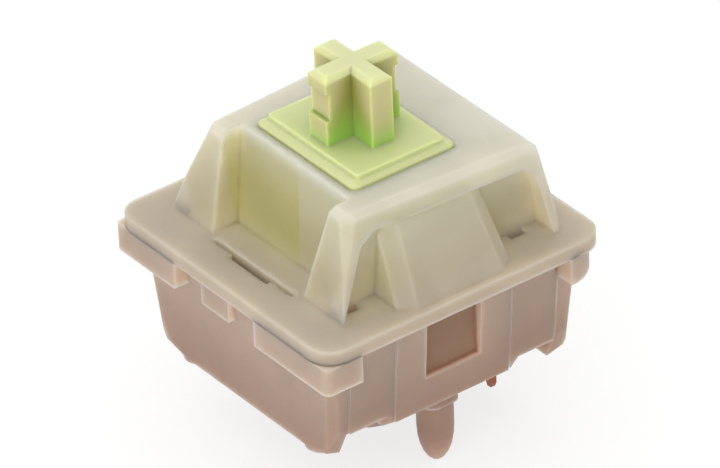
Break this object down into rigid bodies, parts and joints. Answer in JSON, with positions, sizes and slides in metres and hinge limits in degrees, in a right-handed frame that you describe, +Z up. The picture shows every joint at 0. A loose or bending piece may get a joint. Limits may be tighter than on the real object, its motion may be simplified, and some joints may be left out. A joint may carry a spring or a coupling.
{
  "type": "mechanical keyboard switch",
  "caption": "Mechanical keyboard switch in a milky two-piece housing, with a sprung cross stem, contact leaf, centre post, fixing pins and solder pins.",
  "frame": {"origin": "on the axis of stem and centre post, in the plane of the circuit board that the housing stands on", "axes": "+Z up along the stem, away from the board; +Y towards the contacts and solder pins; -Y towards the lamp recess; +X towards one of the two sloping side panels"},
  "size_m": [0.0156, 0.0156, 0.0186],
  "materials": {
    "milky_cover": "translucent satin",
    "milky_base": "translucent satin",
    "green_stem": "satin",
    "spring_steel": "drawn wire",
    "copper_alloy": "rolled sheet",
    "contact_metal": "plated"
  },
  "bodies": {
    "housing": {"bottom_housing": "milky_base", "top_housing": "milky_cover", "return_spring": "spring_steel", "fixed_contact_terminal": "copper_alloy", "fixed_contact_point": "contact_metal", "moving_contact_terminal": "copper_alloy"},
    "stem": {"stem": "green_stem"},
    "leaf": {"moving_contact_leaf": "copper_alloy", "moving_contact_point": "contact_metal"}
  },
  "joints": [
    {"name": "press", "type": "slide", "parent": "housing", "child": "stem", "axis": [0, 0, -1], "range_m": [0, 0.004], "stiffness_N_per_m": 75, "springref_m": -0.004, "deforming": ["return_spring"]},
    {"name": "leaf_flex", "type": "hinge", "parent": "housing", "child": "leaf", "pos_m": [0, 0.00484, 0.0016], "axis": [1, 0, 0], "range_deg": [0, 4.2]}
  ],
  "couplings": [
    {"joint": "leaf_flex", "follows": "press", "rad_per_m": 18.2}
  ]
}
